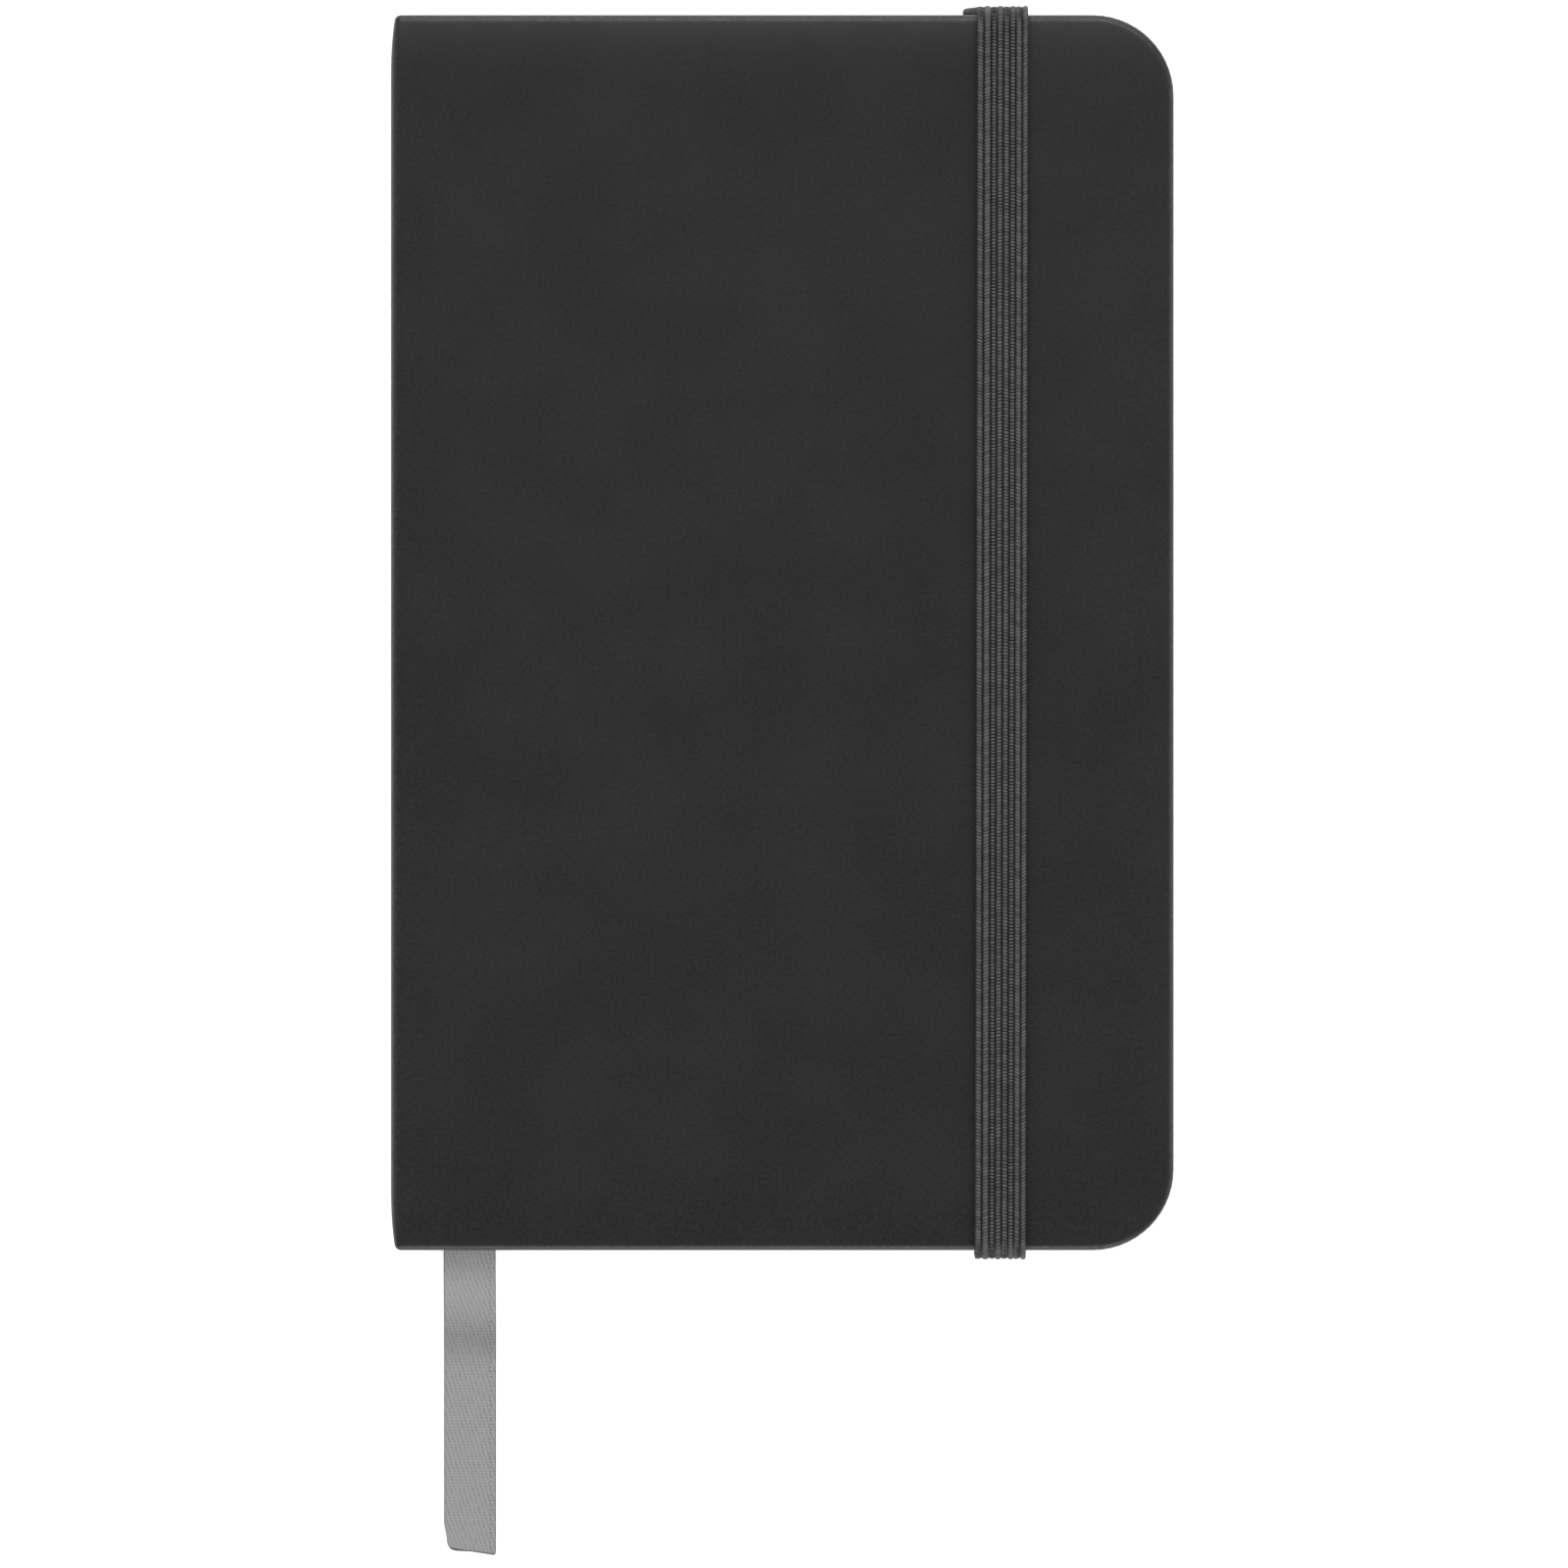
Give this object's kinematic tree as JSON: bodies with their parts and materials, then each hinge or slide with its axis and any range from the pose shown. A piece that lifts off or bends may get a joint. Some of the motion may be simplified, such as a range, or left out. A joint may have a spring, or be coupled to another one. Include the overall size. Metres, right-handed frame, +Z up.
{
  "type": "pocket notebook",
  "caption": "Pocket notebook with wrapped hard covers, sewn rounded-corner pages, an elastic closure band and a ribbon marker; opens flat at the middle.",
  "frame": {"origin": "middle of the back cover's outer face, on which the closed notebook lies", "axes": "+X from the spine to the fore-edge, +Y from the tail to the head, +Z up out of the front cover"},
  "size_m": [0.09, 0.1784, 0.015],
  "materials": {
    "cover_skin": "matte soft-touch imitation leather, charcoal black, very fine grain",
    "board": "grey bookbinding board",
    "endpaper": "plain ivory endpaper",
    "page_paper": "uncoated cream paper, ruled",
    "binding_cloth": "thin open-weave lining cloth",
    "sewing_thread": "natural white linen thread",
    "ribbon": "mid-grey twill-woven satin ribbon",
    "elastic": "dark grey ribbed woven elastic"
  },
  "bodies": {
    "back_cover": {"back_cover_wrap": "cover_skin", "back_board": "board", "back_joint_skin": "cover_skin", "back_pastedown": "endpaper", "elastic_head_anchor": "elastic", "elastic_tail_anchor": "elastic"},
    "spine": {"spine_wrap": "cover_skin", "spine_card": "board"},
    "front_cover": {"front_cover_wrap": "cover_skin", "front_board": "board", "front_joint_skin": "cover_skin", "front_pastedown": "endpaper"},
    "back_pages": {"back_flyleaf": "endpaper", "section_4": "page_paper", "section_5": "page_paper", "section_6": "page_paper", "back_spine_lining": "binding_cloth", "back_sewing_thread_1": "sewing_thread", "back_sewing_thread_2": "sewing_thread", "ribbon_marker": "ribbon"},
    "front_pages": {"front_flyleaf": "endpaper", "section_1": "page_paper", "section_2": "page_paper", "section_3": "page_paper", "front_spine_lining": "binding_cloth", "front_sewing_thread_1": "sewing_thread", "front_sewing_thread_2": "sewing_thread"},
    "elastic": {"elastic_band": "elastic", "elastic_head_side": "elastic", "elastic_tail_side": "elastic"}
  },
  "joints": [
    {"name": "cover_hinge", "type": "hinge", "parent": "spine", "child": "front_cover", "pos_m": [-0.0434, 0, 0.0124], "axis": [0, -1, 0], "range_deg": [0, 90], "deforming": ["front_joint_skin"]},
    {"name": "spine_hinge", "type": "hinge", "parent": "back_cover", "child": "spine", "pos_m": [-0.0434, 0, 0.0016], "axis": [0, -1, 0], "range_deg": [0, 90], "deforming": ["back_joint_skin"]},
    {"name": "block_creep", "type": "slide", "parent": "back_cover", "child": "back_pages", "axis": [-1, 0, 0], "range_m": [0, 0.0035], "deforming": ["ribbon_marker"]},
    {"name": "pages_hinge", "type": "hinge", "parent": "back_pages", "child": "front_pages", "pos_m": [-0.0433, 0, 0.007], "axis": [0, -1, 0], "range_deg": [0, 180]},
    {"name": "elastic_swing", "type": "hinge", "parent": "back_cover", "child": "elastic", "pos_m": [0.0252, 0, 0.007], "axis": [0, 1, 0], "range_deg": [0, 180], "deforming": ["elastic_band", "elastic_head_side", "elastic_tail_side"]}
  ],
  "couplings": [
    {"joint": "spine_hinge", "follows": "pages_hinge", "ratio": 0.5},
    {"joint": "cover_hinge", "follows": "pages_hinge", "ratio": 0.5},
    {"joint": "elastic_swing", "follows": "pages_hinge", "ratio": 1},
    {"joint": "block_creep", "follows": "pages_hinge", "m_per_rad": 0.001114}
  ]
}
